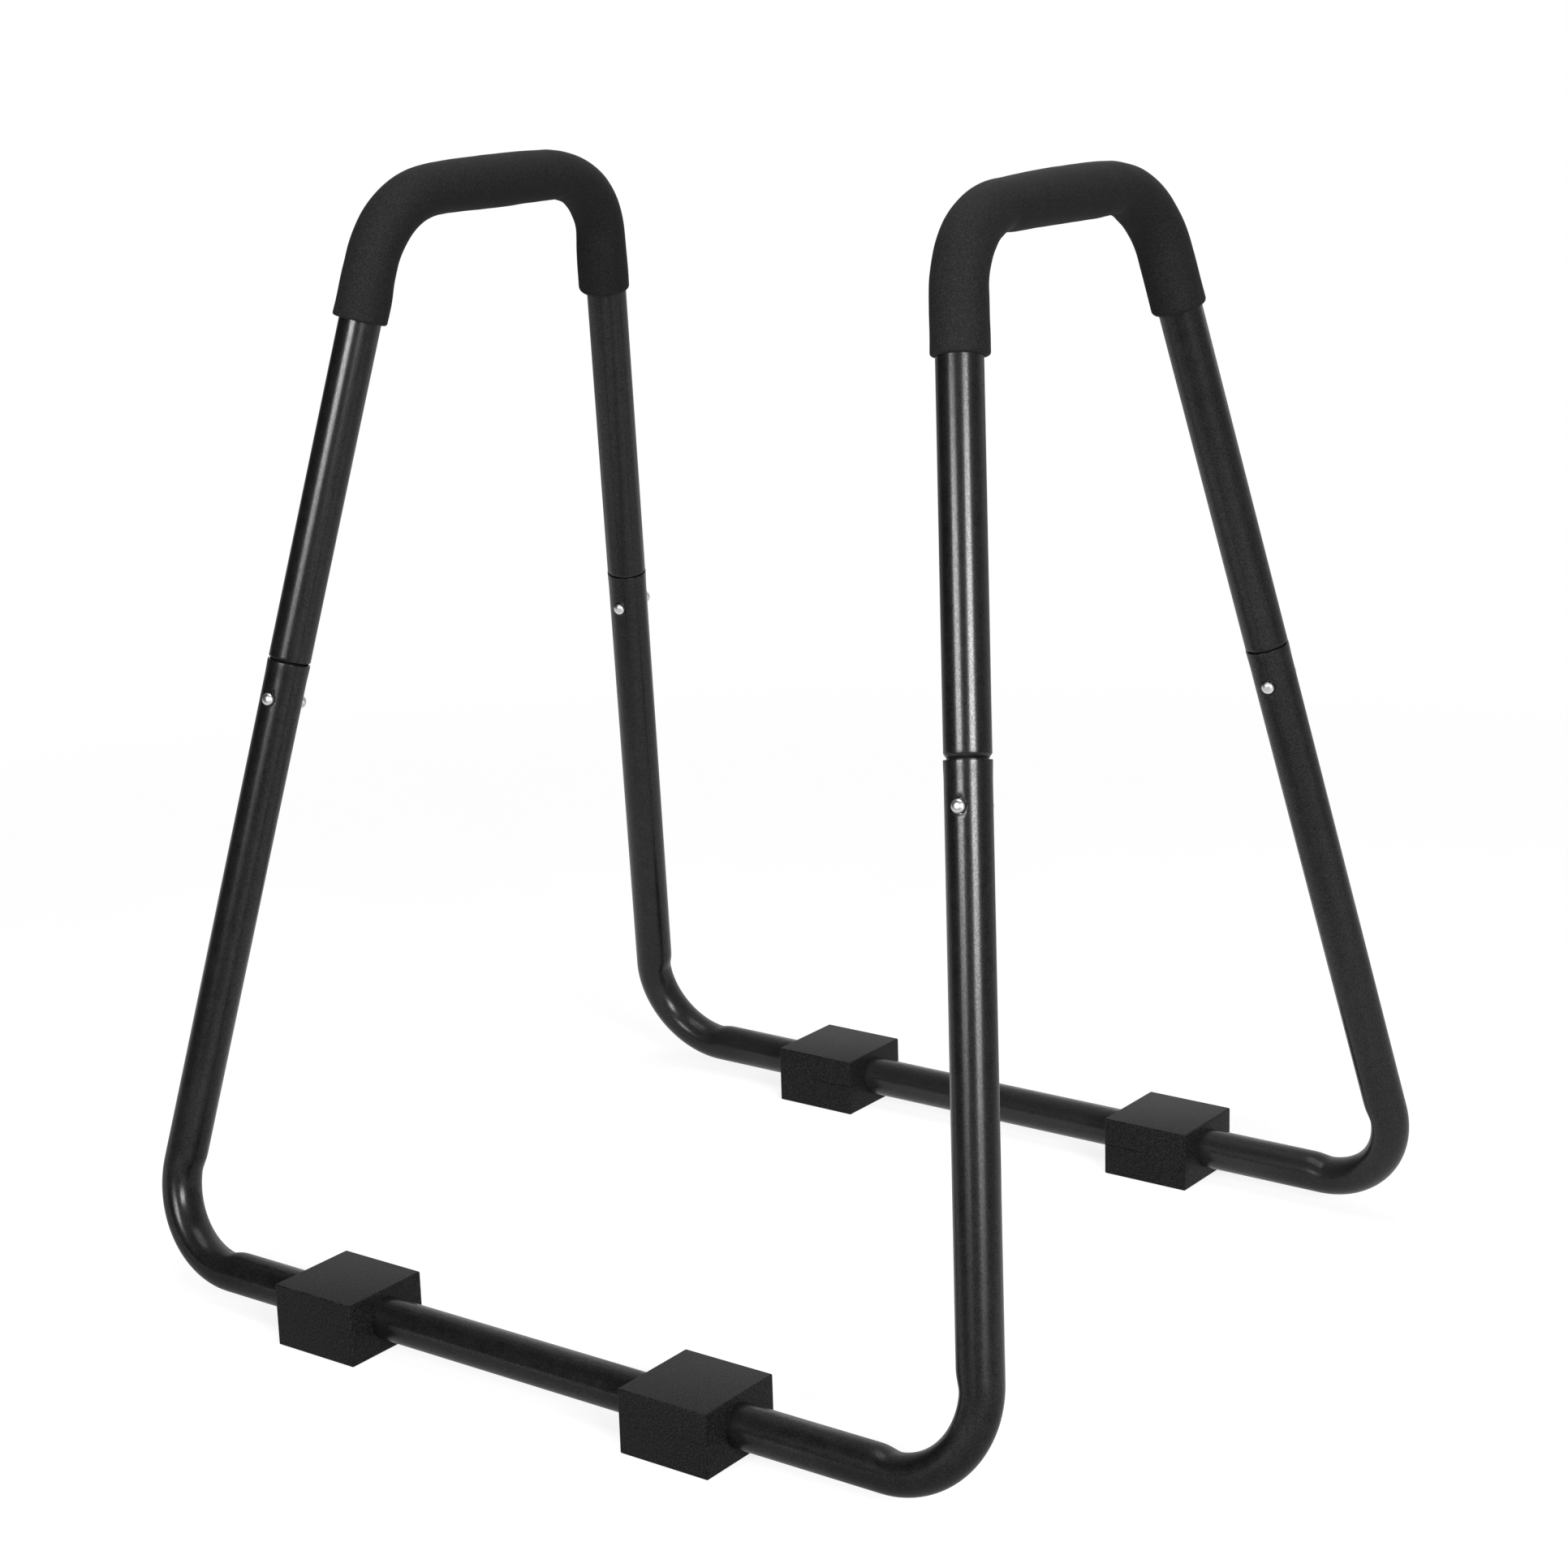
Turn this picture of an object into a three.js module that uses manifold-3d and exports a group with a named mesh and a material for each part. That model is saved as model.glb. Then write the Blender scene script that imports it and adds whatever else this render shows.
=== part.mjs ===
// Dip station: two low U-shaped base tubes stand on square foam feet, two U-shaped handle tubes
// plug into their four legs, and a sprung button clip in each joint keeps the tubes together.
// Millimetres. +X points to the right handle, +Y to the rear base tube, +Z up, and the floor is z = 0.

import * as THREE from "three";
import { mergeVertices } from "three/addons/utils/BufferGeometryUtils.js";
import Module from "manifold-3d";

const wasm = await Module();
wasm.setup();

// Frame tubes. Lengths are taken on the tube axes, to the corners where straight runs would meet.
const tubeDiameter = 32;
const tubeWall = 1.5;
const baseLength = 758;
const baseSpread = 618;
const lowerLegLength = 474;
const handleSpacing = 504;
const handleLength = 245;
const handleHeight = 827;
const bendRadius = 64;

// The inner side of each bend is pressed in by the bending die, over a short run at both ends.
const pressDepth = 3;
const pressRun = 9;
const pressStartShare = 0.6;

// Telescoping joints: a swaged neck below a tapered shoulder slides into the lower tube.
const neckLength = 60;
const neckClearance = 0.3;
const shoulderLength = 4.5;
const rimGap = 0.3;

// Snap buttons and the V-shaped spring clip that carries a pair of them.
const buttonDrop = 28;
const buttonDiameter = 9.6;
const buttonStand = 3.7;
const domeHeight = 3.4;
const holeClearance = 0.3;
const seatClearance = 0.3;
const rivetDiameter = 4;
const rivetHeadDiameter = 6;
const rivetHeadHeight = 0.8;
const springWidth = 9;
const springThickness = 1;
const springPad = 8;
const springReach = 36;
const springBend = 3;

// Turn of each button about its leg, in degrees, away from square to the lower tube's plane.
const frontButtonTurn = 8;
const rearButtonTurn = { left: 24, right: 15 };

// Foam sleeves on the handles.
const gripThickness = 3.5;
const gripDrop = 95;
const gripClearance = 0.3;
const gripBunch = 5;
const gripStretch = 1.2;

// Square foam feet, slit on the front side so that they press over the base tube.
const footLength = 76;
const footCheek = 21.5;
const footSole = 8.9;
const footCrown = 6.2;
const footClearance = 0.3;
const footEdge = 2.5;
const footBevel = 1.2;
const footSlit = 1;

// Where each foot stands, as a share of the way from the middle of its base tube to the corner.
const frontLeftFootShare = 0.481;
const frontRightFootShare = 0.383;
const rearLeftFootShare = 0.457;
const rearRightFootShare = 0.426;

// Facets.
const tubeSides = 24;
const boreSides = 16;
const handleBoreSides = 12;
const gripSides = 20;
const buttonSides = 10;
const rivetSides = 8;
const bendSteps = 5;
const domeSteps = 3;
const springBendSteps = 6;
const footCornerSteps = 2;
const cutOverrun = 4;

// Sizes that follow from those above.
const tubeRadius = tubeDiameter / 2;
const tubeBore = tubeRadius - tubeWall;
const neckRadius = tubeBore * flatShare(boreSides) - neckClearance;
const neckBore = neckRadius - tubeWall;
const gripRadius = tubeRadius + gripThickness;
const gripBore = (tubeRadius + gripClearance) / flatShare(boreSides);
const footBore = (tubeRadius + footClearance) / flatShare(boreSides);
const baseHeight = footSole + footBore;
const buttonRadius = buttonDiameter / 2;
const buttonHole = buttonRadius + holeClearance;
const springSpace = Math.sqrt((neckBore * flatShare(handleBoreSides)) ** 2 - (springWidth / 2) ** 2);
const springSeat = springSpace - seatClearance - springThickness / 2;

const up = new THREE.Vector3(0, 1, 0);

// The flats of a polygon lie at this share of its corners' radius.
function flatShare(sides) {
  return Math.cos(Math.PI / sides);
}

function coatedSteel() {
  return new THREE.MeshStandardMaterial({ color: 0x141414, roughness: 0.38, metalness: 0.15 });
}

function gripFoam() {
  return new THREE.MeshStandardMaterial({ color: 0x1c1c1c, roughness: 0.95, metalness: 0 });
}

function footFoam() {
  return new THREE.MeshStandardMaterial({ color: 0x202020, roughness: 0.9, metalness: 0 });
}

function polishedSteel() {
  return new THREE.MeshStandardMaterial({ color: 0xc9cbcd, roughness: 0.15, metalness: 1 });
}

function springSteel() {
  return new THREE.MeshStandardMaterial({ color: 0x6b6f73, roughness: 0.4, metalness: 1 });
}

function namedMesh(name, geometry, material) {
  const mesh = new THREE.Mesh(geometry, material);
  mesh.name = name;
  return mesh;
}

// Boolean cuts.
function solidOf(geometry) {
  const bare = geometry.clone();
  bare.deleteAttribute("normal");
  bare.deleteAttribute("uv");
  const merged = mergeVertices(bare);
  return new wasm.Manifold(
    new wasm.Mesh({
      numProp: 3,
      vertProperties: merged.attributes.position.array,
      triVerts: new Uint32Array(merged.index.array),
    }),
  );
}

function cutAway(geometry, tools) {
  let body = solidOf(geometry);
  for (const tool of tools) {
    body = body.subtract(solidOf(tool));
  }
  const mesh = body.getMesh();
  const cut = new THREE.BufferGeometry();
  cut.setAttribute("position", new THREE.BufferAttribute(mesh.vertProperties, 3));
  cut.setIndex(new THREE.BufferAttribute(mesh.triVerts, 1));
  cut.computeVertexNormals();
  return cut;
}

// A cylinder that stands on a point and points along a direction.
function drill(radius, start, direction, length, sides) {
  const tool = new THREE.CylinderGeometry(radius, radius, length, sides);
  tool.applyQuaternion(new THREE.Quaternion().setFromUnitVectors(up, direction));
  tool.translate(...start.clone().addScaledVector(direction, length / 2));
  return tool;
}

// Sections are drawn in the station's own plane: x towards the inside of the bend, y to the side.
// They can be pressed in on the inside of the bend and thinned on the outside.
function roundSection(radius, sides, press = 0, thinning = 0) {
  const points = [];
  for (let i = 0; i < sides; i++) {
    const angle = (2 * Math.PI * i) / sides;
    const x = radius * Math.cos(angle);
    const squeeze = 1 - (x > 0 ? press : thinning) / radius;
    points.push(new THREE.Vector2(x * squeeze, radius * Math.sin(angle)));
  }
  return points;
}

function stripSection() {
  const x = springThickness / 2;
  const y = springWidth / 2;
  return [
    new THREE.Vector2(x, -y),
    new THREE.Vector2(x, y),
    new THREE.Vector2(-x, y),
    new THREE.Vector2(-x, -y),
  ];
}

function placed(station, point) {
  return station.centre
    .clone()
    .addScaledVector(station.inward, point.x)
    .addScaledVector(station.side, point.y);
}

// Closed surface swept through stations: an outer skin, an inner skin if there is a bore, and flat ends.
function sweep(stations, outlineAt, boreAt) {
  const positions = [];
  const faces = [];

  function skin(sectionAt, outward) {
    const first = positions.length / 3;
    const sides = sectionAt(stations[0]).length;
    for (const station of stations) {
      for (const point of sectionAt(station)) {
        positions.push(...placed(station, point));
      }
    }
    for (let ring = 0; ring + 1 < stations.length; ring++) {
      for (let i = 0; i < sides; i++) {
        const a = first + ring * sides + i;
        const b = first + ring * sides + ((i + 1) % sides);
        const c = b + sides;
        const d = a + sides;
        if (outward) {
          faces.push(a, b, c, a, c, d);
        } else {
          faces.push(a, c, b, a, d, c);
        }
      }
    }
    return { first, sides, last: first + (stations.length - 1) * sides };
  }

  function capEnd(station, outer, inner, outerStart, innerStart, facesBack) {
    const contour = outlineAt(station);
    const holes = inner ? [boreAt(station)] : [];
    const indexOf = (i) => (i < outer.sides ? outerStart + i : innerStart + i - outer.sides);
    for (const triangle of THREE.ShapeUtils.triangulateShape(contour, holes)) {
      const [a, b, c] = triangle.map(indexOf);
      if (facesBack) {
        faces.push(a, c, b);
      } else {
        faces.push(a, b, c);
      }
    }
  }

  const outer = skin(outlineAt, true);
  const inner = boreAt ? skin(boreAt, false) : null;
  capEnd(stations[0], outer, inner, outer.first, inner?.first, true);
  capEnd(stations.at(-1), outer, inner, outer.last, inner?.last, false);
  const geometry = new THREE.BufferGeometry();
  geometry.setAttribute("position", new THREE.Float32BufferAttribute(positions, 3));
  geometry.setIndex(faces);
  geometry.computeVertexNormals();
  return geometry;
}

// Stations along three straight runs joined by two round bends in one plane. Each has its share of
// the turn through the bend and, where the bends are pressed in, its share of the full press.
function bentStations([start, cornerA, cornerB, end], pressed) {
  const directions = [
    cornerA.clone().sub(start).normalize(),
    cornerB.clone().sub(cornerA).normalize(),
    end.clone().sub(cornerB).normalize(),
  ];
  const side = new THREE.Vector3().crossVectors(directions[0], directions[1]).normalize();

  function station(centre, along, pressShare = 0, turnShare = 0) {
    const inward = new THREE.Vector3().crossVectors(side, along);
    const across = new THREE.Vector3().crossVectors(along, inward);
    return { centre, along, inward, side: across, pressShare, turnShare };
  }

  function bend(corner, before, after) {
    const turn = before.angleTo(after);
    const reach = bendRadius * Math.tan(turn / 2);
    const tangentPoint = corner.clone().addScaledVector(before, -reach);
    const toCentre = new THREE.Vector3().crossVectors(side, before);
    const centre = tangentPoint.clone().addScaledVector(toCentre, bendRadius);

    function turned(angle, pressShare) {
      const along = before.clone().applyAxisAngle(side, angle);
      const outward = new THREE.Vector3().crossVectors(along, side);
      return station(centre.clone().addScaledVector(outward, bendRadius), along, pressShare, angle / turn);
    }

    const margin = pressRun / bendRadius;
    const stations = [turned(0, pressStartShare)];
    for (let i = 0; i <= bendSteps; i++) {
      stations.push(turned(margin + ((turn - 2 * margin) * i) / bendSteps, 1));
    }
    stations.push(turned(turn, pressStartShare));
    if (pressed) {
      stations.unshift(station(tangentPoint.clone().addScaledVector(before, -pressRun), before));
      stations.push(station(corner.clone().addScaledVector(after, reach + pressRun), after));
    }
    return stations;
  }

  return [
    station(start, directions[0]),
    ...bend(cornerA, directions[0], directions[1]),
    ...bend(cornerB, directions[1], directions[2]),
    station(end, directions[2]),
  ];
}

// The straight leg axis at one corner of the stand, from the base tube up to the handle.
function legAxis(sideX, sideY, footShare) {
  const foot = new THREE.Vector3((sideX * baseLength) / 2, (sideY * baseSpread) / 2, baseHeight);
  const head = new THREE.Vector3((sideX * handleSpacing) / 2, (sideY * handleLength) / 2, handleHeight);
  const rise = head.clone().sub(foot).normalize();
  const at = (distance) => foot.clone().addScaledVector(rise, distance);
  return { foot, head, rise, at, sideX, length: head.distanceTo(foot), block: foot.x * footShare };
}

const legs = {
  front_left: legAxis(-1, -1, frontLeftFootShare),
  front_right: legAxis(1, -1, frontRightFootShare),
  rear_left: legAxis(-1, 1, rearLeftFootShare),
  rear_right: legAxis(1, 1, rearRightFootShare),
};

// The two directions in which a leg's snap buttons point, square to the leg.
function buttonDirections(leg) {
  const across = new THREE.Vector3(1, 0, 0);
  const forward = new THREE.Vector3().crossVectors(across, leg.rise).normalize();
  const frontTurn = THREE.MathUtils.degToRad(frontButtonTurn);
  const rearTurn = THREE.MathUtils.degToRad(leg.sideX < 0 ? rearButtonTurn.left : rearButtonTurn.right);
  return {
    front: forward.clone().applyAxisAngle(leg.rise, frontTurn),
    rear: forward.clone().negate().applyAxisAngle(leg.rise, -rearTurn),
  };
}

function buttonCentre(leg) {
  return leg.at(lowerLegLength - buttonDrop);
}

function buttonDrills(leg) {
  return Object.values(buttonDirections(leg)).map((direction) =>
    drill(buttonHole, buttonCentre(leg), direction, tubeRadius + cutOverrun, buttonSides),
  );
}

// Base tube: one run along the floor and two legs, open at both rims.
function baseTube(left, right) {
  const path = [left.at(lowerLegLength), left.foot, right.foot, right.at(lowerLegLength)];
  const stations = bentStations(path, true);
  const outline = (station) => roundSection(tubeRadius, tubeSides, pressDepth * station.pressShare);
  const bore = (station) => roundSection(tubeBore, boreSides, pressDepth * station.pressShare);
  return cutAway(sweep(stations, outline, bore), [...buttonDrills(left), ...buttonDrills(right)]);
}

// Handle tube: one bar and two legs, each ending in a shoulder and a neck.
function handleTube(front, rear) {
  const neckEnd = lowerLegLength - neckLength;
  const path = [front.at(neckEnd), front.head, rear.head, rear.at(neckEnd)];
  const bent = bentStations(path, true);
  const first = bent[0];
  const last = bent.at(-1);
  const raised = (station, distance, way) => ({
    ...station,
    centre: station.centre.clone().addScaledVector(station.along, way * distance),
  });
  const necked = (station) => ({ ...station, radius: neckRadius });
  const toShoulder = neckLength + rimGap;
  const stations = [
    necked(first),
    necked(raised(first, toShoulder, 1)),
    raised(first, toShoulder + shoulderLength, 1),
    ...bent.slice(1, -1),
    raised(last, toShoulder + shoulderLength, -1),
    necked(raised(last, toShoulder, -1)),
    necked(last),
  ];
  const radiusAt = (station) => station.radius ?? tubeRadius;
  const outline = (station) => roundSection(radiusAt(station), tubeSides, pressDepth * station.pressShare);
  const boreAt = (station) => radiusAt(station) - tubeWall;
  const bore = (station) => roundSection(boreAt(station), handleBoreSides, pressDepth * station.pressShare);
  return cutAway(sweep(stations, outline, bore), [...buttonDrills(front), ...buttonDrills(rear)]);
}

// Foam sleeve: it covers the bar, both bends and the top of the legs. It bunches on the inside of the
// bends and is stretched thin on the outside.
function gripSleeve(front, rear) {
  const fromHead = (leg) => leg.at(leg.length - gripDrop);
  const path = [fromHead(front), front.head, rear.head, fromHead(rear)];
  const stations = bentStations(path, false);
  const bendShare = (station) => 1 - Math.abs(2 * station.turnShare - 1);
  const outline = (station) => {
    const share = bendShare(station);
    return roundSection(gripRadius, gripSides, -gripBunch * share, gripStretch * share);
  };
  const bore = () => roundSection(gripBore, boreSides);
  return sweep(stations, outline, bore);
}

function arcPoints(centreX, centreY, radius, from, to, steps) {
  const points = [];
  for (let i = 0; i <= steps; i++) {
    const angle = from + ((to - from) * i) / steps;
    points.push(new THREE.Vector2(centreX + radius * Math.cos(angle), centreY + radius * Math.sin(angle)));
  }
  return points;
}

// Foot: a square block with rounded edges, a bore for the base tube and a slit to the front.
// It is drawn in the plane across the tube, around the tube's axis.
function footBlock() {
  const quarter = Math.PI / 2;
  const halfDepth = footBore + footCheek;
  const right = halfDepth - footEdge;
  const top = footBore + footCrown - footEdge;
  const bottom = -(footBore + footSole - footEdge);
  const slitAngle = Math.asin(footSlit / 2 / footBore);
  const corner = (x, y, from) => arcPoints(x, y, footEdge, from, from + quarter, footCornerSteps);
  const outline = new THREE.Shape([
    new THREE.Vector2(-halfDepth, -footSlit / 2),
    ...corner(-right, bottom, 2 * quarter),
    ...corner(right, bottom, 3 * quarter),
    ...corner(right, top, 0),
    ...corner(-right, top, quarter),
    new THREE.Vector2(-halfDepth, footSlit / 2),
    ...arcPoints(0, 0, footBore, 2 * quarter - slitAngle, slitAngle - 2 * quarter, boreSides),
  ]);
  const block = new THREE.ExtrudeGeometry(outline, {
    depth: footLength - 2 * footBevel,
    bevelThickness: footBevel,
    bevelSize: footBevel,
    bevelOffset: -footBevel,
    bevelSegments: 1,
  });
  return block.translate(0, 0, footBevel - footLength / 2);
}

// Snap button: a domed plug in the two walls, held to the spring by a rivet with a peened head.
// Its profile is drawn along its own axis, from the axis of the leg outwards.
function snapButton() {
  const rivet = rivetDiameter / 2;
  const rivetHead = rivetHeadDiameter / 2;
  const underSpring = springSeat - springThickness / 2 - seatClearance;
  const overSpring = springSeat + springThickness / 2 + seatClearance;
  const domeBase = tubeRadius + buttonStand - domeHeight;
  const profile = [
    new THREE.Vector2(0, underSpring - rivetHeadHeight),
    new THREE.Vector2(rivetHead, underSpring - rivetHeadHeight),
    new THREE.Vector2(rivetHead, underSpring),
    new THREE.Vector2(rivet, underSpring),
    new THREE.Vector2(rivet, overSpring),
    new THREE.Vector2(buttonRadius, overSpring),
  ];
  for (let i = 0; i < domeSteps; i++) {
    const angle = (i * Math.PI) / 2 / domeSteps;
    const height = domeBase + domeHeight * Math.sin(angle);
    profile.push(new THREE.Vector2(buttonRadius * Math.cos(angle), height));
  }
  profile.push(new THREE.Vector2(0, domeBase + domeHeight));
  return new THREE.LatheGeometry(profile, buttonSides);
}

// Spring clip: a strip that carries one button at each end and folds over at the top. The two halves
// lie behind their own buttons, so the strip twists a little through the fold.
function springClip(leg) {
  const { front, rear } = buttonDirections(leg);
  const origin = buttonCentre(leg);
  const point = (direction, out, height) =>
    origin.clone().addScaledVector(direction, out).addScaledVector(leg.rise, height);
  const centres = [
    { centre: point(front, springSeat, -springPad), twist: 0 },
    { centre: point(front, springSeat, springPad), twist: 0 },
    { centre: point(front, springBend, springReach), twist: 0 },
  ];
  for (let i = 1; i < springBendSteps; i++) {
    const twist = i / springBendSteps;
    const out = springBend * Math.cos(Math.PI * twist);
    const height = springReach + springBend * Math.sin(Math.PI * twist);
    centres.push({ centre: point(out > 0 ? front : rear, Math.abs(out), height), twist });
  }
  centres.push(
    { centre: point(rear, springBend, springReach), twist: 1 },
    { centre: point(rear, springSeat, springPad), twist: 1 },
    { centre: point(rear, springSeat, -springPad), twist: 1 },
  );
  const stations = centres.map(({ centre, twist }, i) => {
    const before = centres[Math.max(i - 1, 0)].centre;
    const after = centres[Math.min(i + 1, centres.length - 1)].centre;
    const along = after.clone().sub(before).normalize();
    const facing = front.clone().multiplyScalar(1 - twist).addScaledVector(rear, -twist);
    const widthWay = new THREE.Vector3().crossVectors(leg.rise, facing).normalize();
    const inward = new THREE.Vector3().crossVectors(widthWay, along).normalize();
    return { centre, inward, side: new THREE.Vector3().crossVectors(along, inward) };
  });
  const rivetHole = rivetDiameter / 2 + seatClearance;
  const holes = [front, rear].map((direction) =>
    drill(rivetHole, origin, direction, springSeat + cutOverrun, rivetSides),
  );
  return cutAway(sweep(stations, stripSection), holes);
}

function buttonMesh(name, leg, direction) {
  const mesh = namedMesh(name, snapButton(), polishedSteel());
  mesh.position.copy(buttonCentre(leg));
  mesh.quaternion.setFromUnitVectors(up, direction);
  return mesh;
}

function footMesh(name, leg) {
  const mesh = namedMesh(name, footBlock(), footFoam());
  const alongTube = new THREE.Vector3(1, 0, 0);
  const acrossTube = new THREE.Vector3(0, 1, 0);
  const upward = new THREE.Vector3(0, 0, 1);
  mesh.position.set(leg.block, leg.foot.y, baseHeight);
  mesh.quaternion.setFromRotationMatrix(new THREE.Matrix4().makeBasis(acrossTube, upward, alongTube));
  return mesh;
}

function tubes() {
  const group = new THREE.Group();
  group.add(namedMesh("front_base_tube", baseTube(legs.front_left, legs.front_right), coatedSteel()));
  group.add(namedMesh("rear_base_tube", baseTube(legs.rear_left, legs.rear_right), coatedSteel()));
  group.add(namedMesh("left_handle_tube", handleTube(legs.front_left, legs.rear_left), coatedSteel()));
  group.add(namedMesh("right_handle_tube", handleTube(legs.front_right, legs.rear_right), coatedSteel()));
  return group;
}

function grips() {
  const group = new THREE.Group();
  group.add(namedMesh("left_foam_grip", gripSleeve(legs.front_left, legs.rear_left), gripFoam()));
  group.add(namedMesh("right_foam_grip", gripSleeve(legs.front_right, legs.rear_right), gripFoam()));
  return group;
}

// Everything that belongs to one leg: its foot, its spring clip and its two snap buttons.
function legFittings(name) {
  const group = new THREE.Group();
  const leg = legs[name];
  const directions = buttonDirections(leg);
  group.add(footMesh(`${name}_foot_block`, leg));
  group.add(namedMesh(`${name}_snap_spring`, springClip(leg), springSteel()));
  group.add(buttonMesh(`${name}_snap_button_front`, leg, directions.front));
  group.add(buttonMesh(`${name}_snap_button_back`, leg, directions.rear));
  return group;
}

const dipStation = new THREE.Group();
dipStation.add(tubes(), grips());
for (const name of Object.keys(legs)) {
  dipStation.add(legFittings(name));
}

export default dipStation;
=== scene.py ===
"""Dip station: powder-coated tubes, foam grips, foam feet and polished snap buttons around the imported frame.

Metres. +X points to the right handle, +Y to the rear base tube, +Z up, and the floor is z = 0.
"""

import math
from collections import namedtuple

import bmesh
import bpy
from mathutils import Matrix, Vector, noise


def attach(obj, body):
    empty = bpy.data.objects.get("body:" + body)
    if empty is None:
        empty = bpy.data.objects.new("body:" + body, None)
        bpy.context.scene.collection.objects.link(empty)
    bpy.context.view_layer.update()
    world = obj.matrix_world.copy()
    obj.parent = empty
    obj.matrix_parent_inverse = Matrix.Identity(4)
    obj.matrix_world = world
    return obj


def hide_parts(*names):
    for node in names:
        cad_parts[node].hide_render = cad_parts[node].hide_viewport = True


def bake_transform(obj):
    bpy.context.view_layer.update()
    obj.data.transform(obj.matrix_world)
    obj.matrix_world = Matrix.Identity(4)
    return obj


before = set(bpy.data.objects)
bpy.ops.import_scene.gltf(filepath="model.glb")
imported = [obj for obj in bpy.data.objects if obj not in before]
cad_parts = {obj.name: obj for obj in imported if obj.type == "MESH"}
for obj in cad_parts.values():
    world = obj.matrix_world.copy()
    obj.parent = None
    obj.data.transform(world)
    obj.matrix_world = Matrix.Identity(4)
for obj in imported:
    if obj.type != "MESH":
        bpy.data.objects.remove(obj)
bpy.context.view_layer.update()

# Frame tubes. Lengths are taken on the tube axes, to the corners where straight runs would meet.
TUBE_RADIUS = 0.016
TUBE_WALL = 0.0015
BASE_LENGTH = 0.758
BASE_SPREAD = 0.618
BASE_HEIGHT = 0.025519
LOWER_LEG_LENGTH = 0.474
HANDLE_SPACING = 0.504
HANDLE_LENGTH = 0.245
HANDLE_HEIGHT = 0.827
BEND_RADIUS = 0.064

# How deep a bending die presses the inside of a bend, and how far from the bend's end that fades.
PRESS_DEPTH = 0.003
PRESS_RUN = 0.009

# Telescoping joints. A neck starts below the end of its lower leg, and above the base tube's rim its
# shoulder swells to the full tube.
NECK_RADIUS = 0.013921
NECK_START = -0.06
NECK_END = 0.0003
SHOULDERS = {"front_left": 0.0022, "front_right": 0.0042, "rear_left": 0.0012, "rear_right": 0.0014}
# How far each base tube's rim stands off the end of its lower leg.
RIM_SHIFTS = {"front_left": 0.0014, "front_right": 0.002, "rear_left": 0.0012, "rear_right": -0.0008}
RIM_ROUND = 0.00035
RIM_FLARE = 0.0003
FLARE_LENGTH = 0.014

# Snap buttons. What starts or ends does so that far from the axis of the leg. They turn towards the
# right, in degrees: the front ones from straight ahead, and the back ones from straight back, by the
# side of their leg.
BUTTON_DROP = 0.028
BUTTON_RADIUS = 0.0048
BUTTON_STAND = 0.0037
BUTTON_START = 0.0112
BUTTON_CHAMFER = 0.0003
DOME_HEIGHT = 0.0027
DOME_EDGE = 0.0006
RIVET_RADIUS = 0.002
RIVET_HEAD_RADIUS = 0.003
RIVET_HEAD_START = 0.00855
RIVET_HEAD_END = 0.0094
HOLE_RADIUS = 0.0055
HOLE_BEVEL = 0.0004
FRONT_BUTTON_TURN = 8
BACK_BUTTON_TURN = {-1: 24, 1: 15}

# Spring clips, in heights above their buttons: the pad behind a button ends, and the arms meet in a fold.
SPRING_PAD = 0.008
SPRING_FOLD = 0.036

# Foam grips. The skin waves a little, and the least wall keeps it off the bore.
GRIP_RADIUS = 0.0195
GRIP_BORE = 0.0161
GRIP_MIN_WALL = 0.0003
GRIP_WAVE = 0.00022
GRIP_WAVE_LENGTH = 0.016
# How far each end comes down its leg, and how far it is rounded.
GRIP_DROPS = {"front_left": 0.095, "front_right": 0.095, "rear_left": 0.1006, "rear_right": 0.095}
GRIP_ROUNDS = {"front_left": 0.0022, "front_right": 0.0022, "rear_left": 0.0045, "rear_right": 0.004}

# Foam feet.
FOOT_LENGTH = 0.076
FOOT_DEPTH = 0.07624
FOOT_HEIGHT = 0.04834
FOOT_BORE = 0.01602
FOOT_EDGE = 0.0012
# How far out each foot stands, in shares of half the base tube.
FOOT_SHARES = {"front_left": 0.481, "front_right": 0.383, "rear_left": 0.457, "rear_right": 0.426}
# Where each foot's slit shows on its front face, in shares of its length from its middle, and its gap.
FOOT_SLITS = {
    "front_left": (0.3, 0.6, 0.0004),
    "front_right": (0.05, 0.6, 0.0005),
    "rear_left": (0.0, 0.6, 0.0009),
    "rear_right": (-0.6, -0.06, 0.0008),
}

# Facets around the tubes and grips, around the buttons and over their domes.
TUBE_SIDES = 96
BUTTON_SIDES = 48
DOME_STEPS = 14

# Least angles in degrees: of an edge that stays sharp, the same on a button, and of a cut's edge that
# is bevelled.
CREASE = 35
BUTTON_CREASE = 40
BEVEL_ANGLE = 50

# Rings of a tube: how many over a rim's round and over a shoulder, how far the closer ones go on past
# a shoulder and in from a rim, and the steps between them.
RIM_STEPS = 4
SHOULDER_STEPS = 8
SHOULDER_MARGIN = 0.004
END_REACH = 0.05
CLOSE_STEP = 0.002
END_STEP = 0.006
STRAIGHT_STEP = 0.02
BEND_STEP = math.radians(3) * BEND_RADIUS

# Rings of a grip: closest at its rims, close over its rounded ends and even between them.
GRIP_RIM_REACH = 0.0006
GRIP_RIM_STEP = 0.00015
GRIP_END_REACH = 0.0048
GRIP_END_STEP = 0.0004
GRIP_STEP = 0.0017

# Less than this counts as nothing, in metres or in steps.
TINY = 1e-6

# The photograph's camera: its place in metres, turns in radians, and lens and sensor in millimetres.
CAMERA_PLACE = (1.4131, -1.8801, 0.9978)
CAMERA_YAW = -0.6425
CAMERA_PITCH = 0.2566
CAMERA_ROLL = -0.0317
CAMERA_LENS = 73.58
CAMERA_SENSOR = 36

# The studio's floor turns to plain white on its way out to its reach.
FLOOR_SIZE = 60
FLOOR_REACH = 3.0
FLOOR_GLOW = 0.8

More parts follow.
